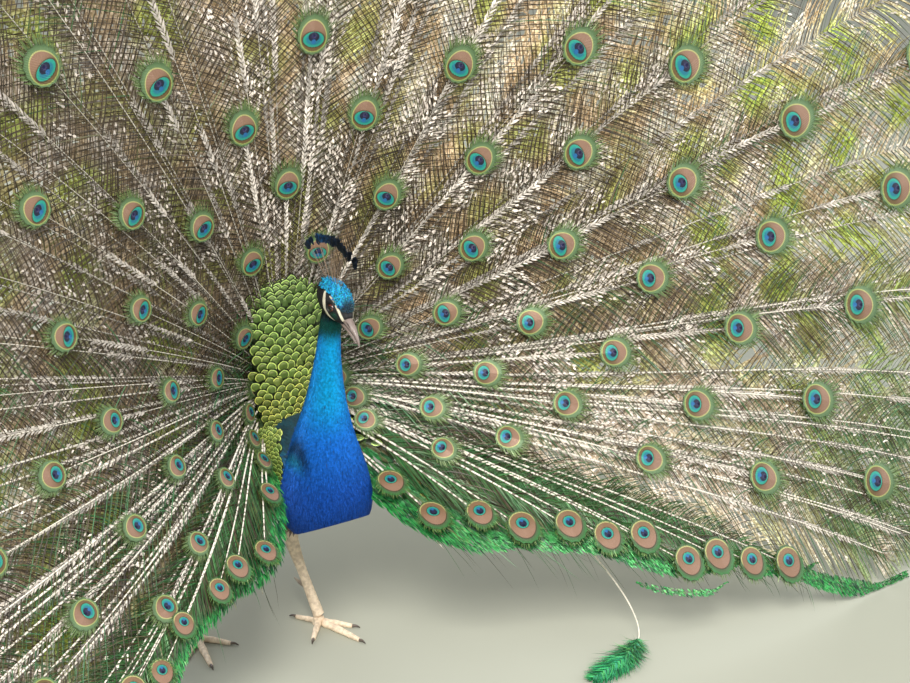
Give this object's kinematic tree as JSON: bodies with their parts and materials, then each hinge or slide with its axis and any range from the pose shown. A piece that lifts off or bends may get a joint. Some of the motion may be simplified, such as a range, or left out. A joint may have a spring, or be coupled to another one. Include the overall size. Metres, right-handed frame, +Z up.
{
  "type": "displaying peacock model",
  "caption": "Life-size still model of a male peafowl standing in display, its long train raised and spread as a fan behind it and wrapped forward at its lower sides.",
  "frame": {"origin": "on the floor the feet stand on, under the middle of the whole model", "axes": "+Z up from the floor, the bird faces -Y, its left side is +X"},
  "size_m": [2.5062, 0.6912, 1.6264],
  "materials": {
    "blue_plumage": "silky iridescent blue, violet on the breast and cyan where it catches the light",
    "head_plumage": "short curled metallic cyan-blue crown feathers, black mask and cream-white bare skin",
    "crest_feathers": "bare buff shafts with small blue-black tufts",
    "bill_horn": "semi-matt pinkish-grey horn",
    "eye": "wet, glossy dark brown",
    "back_plumage": "soft green and bronze feathers",
    "mantle_scale_feathers": "overlapping green-gold scale feathers with dark edges",
    "train_feathers": "long loose bronze-green barbs on pale shafts, with eyes of blue, turquoise and copper",
    "sword_feathers": "dense emerald-green one-sided fringe",
    "tail_feathers": "stiff grey-brown feathers",
    "down": "fluffy dark brown down",
    "wing_feathers": "buff feathers barred with black",
    "flight_feathers": "chestnut quills",
    "leg_skin": "dry scaly pinkish-grey skin",
    "claw_horn": "semi-matt dark horn"
  },
  "bodies": {
    "root": {"neck_upper": "blue_plumage", "neck_lower": "blue_plumage", "breast": "blue_plumage", "trunk": "back_plumage", "eye_left": "eye", "eye_right": "eye", "head": "head_plumage", "bill_upper": "bill_horn", "bill_lower": "bill_horn", "crest": "crest_feathers", "train_base": "back_plumage", "mantle": "mantle_scale_feathers", "train_01": "train_feathers", "train_02": "train_feathers", "train_03": "train_feathers", "train_04": "train_feathers", "train_05": "train_feathers", "train_06": "train_feathers", "train_07": "train_feathers", "train_08": "train_feathers", "train_09": "train_feathers", "train_10": "train_feathers", "train_11": "train_feathers", "train_12": "train_feathers", "train_13": "train_feathers", "train_loose_feather": "sword_feathers", "train_fringe_left": "sword_feathers", "train_fringe_right": "sword_feathers", "tail": "tail_feathers", "undertail": "down", "wing_left": "wing_feathers", "primaries_left": "flight_feathers", "wing_right": "wing_feathers", "primaries_right": "flight_feathers", "thigh_left": "down", "shank_left": "leg_skin", "spur_left": "claw_horn", "foot_left": "leg_skin", "claw_left_middle": "claw_horn", "claw_left_inner": "claw_horn", "claw_left_outer": "claw_horn", "claw_left_hind": "claw_horn", "thigh_right": "down", "shank_right": "leg_skin", "spur_right": "claw_horn", "foot_right": "leg_skin", "claw_right_middle": "claw_horn", "claw_right_inner": "claw_horn", "claw_right_outer": "claw_horn", "claw_right_hind": "claw_horn"}
  },
  "joints": []
}
